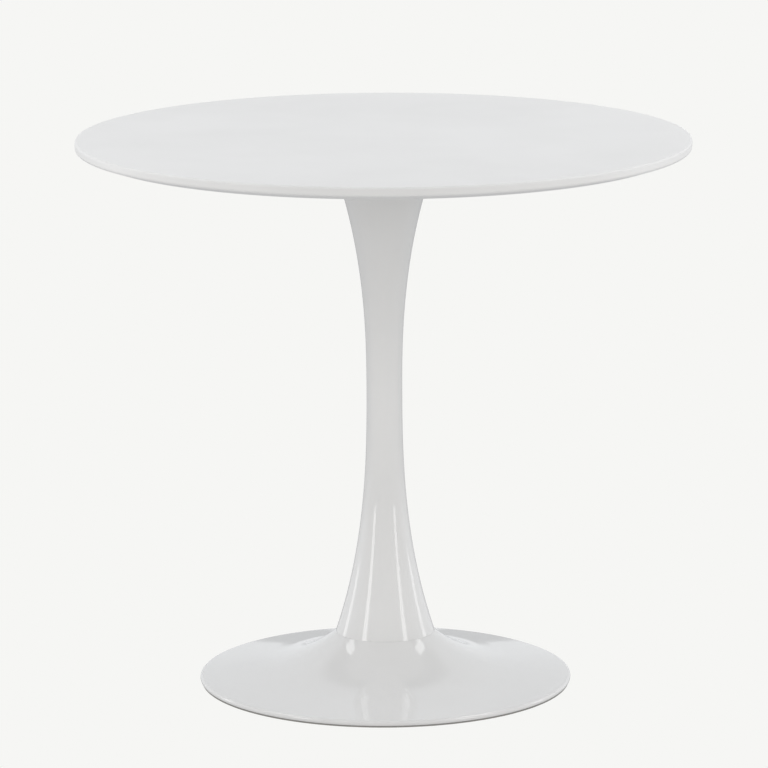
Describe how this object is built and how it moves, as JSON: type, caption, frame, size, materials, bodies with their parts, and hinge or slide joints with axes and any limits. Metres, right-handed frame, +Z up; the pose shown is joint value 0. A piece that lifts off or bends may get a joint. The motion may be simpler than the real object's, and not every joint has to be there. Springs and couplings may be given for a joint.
{
  "type": "round pedestal table",
  "caption": "Round pedestal table: thin disc top with a turned-under edge, hourglass column, weighted trumpet base on levelling glides.",
  "frame": {"origin": "on the floor, at the table's vertical axis, under the middle of the base", "axes": "+Z up along the column's axis; +X and +Y lie in the floor, and the glides stand at 45 degrees between them"},
  "size_m": [0.7999, 0.8, 0.726],
  "materials": {
    "satin_lacquer": "MDF with sprayed white satin lacquer on face, edge and underside",
    "gloss_lacquer": "white gloss lacquer on steel",
    "powder_coat": "white fine-texture powder coat",
    "black_coat": "black fine-texture powder coat",
    "zinc_steel": "bright zinc-plated steel",
    "brass_insert": "turned brass",
    "cast_iron": "as-cast iron, dark primer",
    "edging_rubber": "extruded dark rubber edging",
    "glide_nylon": "moulded black nylon"
  },
  "bodies": {
    "table_frame": {"tabletop": "satin_lacquer", "threaded_inserts": "brass_insert", "mounting_plate": "powder_coat", "plate_locating_ring": "zinc_steel", "plate_weld_nut": "zinc_steel", "plate_washers": "zinc_steel", "plate_screws": "zinc_steel", "column_shell": "gloss_lacquer", "column_top_collar": "zinc_steel", "column_foot_collar": "zinc_steel", "tie_rod": "zinc_steel", "base_shell": "gloss_lacquer", "base_collar": "zinc_steel", "ballast": "cast_iron", "bottom_plate": "black_coat", "bottom_plate_screws": "zinc_steel", "clamp_washer": "zinc_steel", "spring_washer": "zinc_steel", "tie_rod_nut": "zinc_steel", "rim_trim": "edging_rubber", "glide_nuts": "zinc_steel"},
    "glide_foot_1": {"glide_pad_1": "glide_nylon"},
    "glide_foot_2": {"glide_pad_2": "glide_nylon"},
    "glide_foot_3": {"glide_pad_3": "glide_nylon"},
    "glide_foot_4": {"glide_pad_4": "glide_nylon"},
    "glide_screw_1": {"glide_stud_1": "zinc_steel"},
    "glide_screw_2": {"glide_stud_2": "zinc_steel"},
    "glide_screw_3": {"glide_stud_3": "zinc_steel"},
    "glide_screw_4": {"glide_stud_4": "zinc_steel"}
  },
  "joints": [
    {"name": "glide_1_travel", "type": "slide", "parent": "table_frame", "child": "glide_foot_1", "axis": [0, 0, -1], "range_m": [0, 0.004]},
    {"name": "glide_2_travel", "type": "slide", "parent": "table_frame", "child": "glide_foot_2", "axis": [0, 0, -1], "range_m": [0, 0.004]},
    {"name": "glide_3_travel", "type": "slide", "parent": "table_frame", "child": "glide_foot_3", "axis": [0, 0, -1], "range_m": [0, 0.004]},
    {"name": "glide_4_travel", "type": "slide", "parent": "table_frame", "child": "glide_foot_4", "axis": [0, 0, -1], "range_m": [0, 0.004]},
    {"name": "glide_1_turn", "type": "hinge", "parent": "glide_foot_1", "child": "glide_screw_1", "pos_m": [0.13402, 0.13402, 0], "axis": [0, 0, -1], "range_deg": [0, 1153]},
    {"name": "glide_2_turn", "type": "hinge", "parent": "glide_foot_2", "child": "glide_screw_2", "pos_m": [-0.13402, 0.13402, 0], "axis": [0, 0, -1], "range_deg": [0, 1153]},
    {"name": "glide_3_turn", "type": "hinge", "parent": "glide_foot_3", "child": "glide_screw_3", "pos_m": [-0.13402, -0.13402, 0], "axis": [0, 0, -1], "range_deg": [0, 1153]},
    {"name": "glide_4_turn", "type": "hinge", "parent": "glide_foot_4", "child": "glide_screw_4", "pos_m": [0.13402, -0.13402, 0], "axis": [0, 0, -1], "range_deg": [0, 1153]}
  ],
  "couplings": [
    {"joint": "glide_1_turn", "follows": "glide_1_travel", "rad_per_m": 5026.5},
    {"joint": "glide_2_turn", "follows": "glide_2_travel", "rad_per_m": 5026.5},
    {"joint": "glide_3_turn", "follows": "glide_3_travel", "rad_per_m": 5026.5},
    {"joint": "glide_4_turn", "follows": "glide_4_travel", "rad_per_m": 5026.5}
  ]
}
